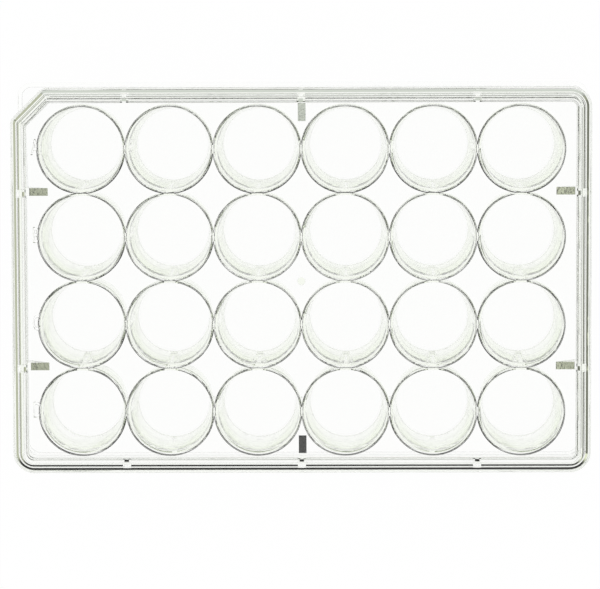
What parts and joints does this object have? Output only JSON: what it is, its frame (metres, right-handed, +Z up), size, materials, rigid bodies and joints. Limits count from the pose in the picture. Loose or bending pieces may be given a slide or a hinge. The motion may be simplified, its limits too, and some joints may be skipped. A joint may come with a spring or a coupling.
{
  "type": "well plate",
  "caption": "Clear rectangular cell culture plate with a grid of round flat-bottomed wells, a base flange, and a loose clear lid with a cut corner.",
  "frame": {"origin": "middle of the footprint, on the surface that the plate stands on", "axes": "+X along the long side from column 1 to column 6, +Y along the short side from row D to row A, +Z up"},
  "size_m": [0.1278, 0.0854, 0.0226],
  "materials": {
    "clear_polystyrene": "clear, polished mould"
  },
  "bodies": {
    "root": {"plate": "clear_polystyrene", "lid": "clear_polystyrene"}
  },
  "joints": []
}
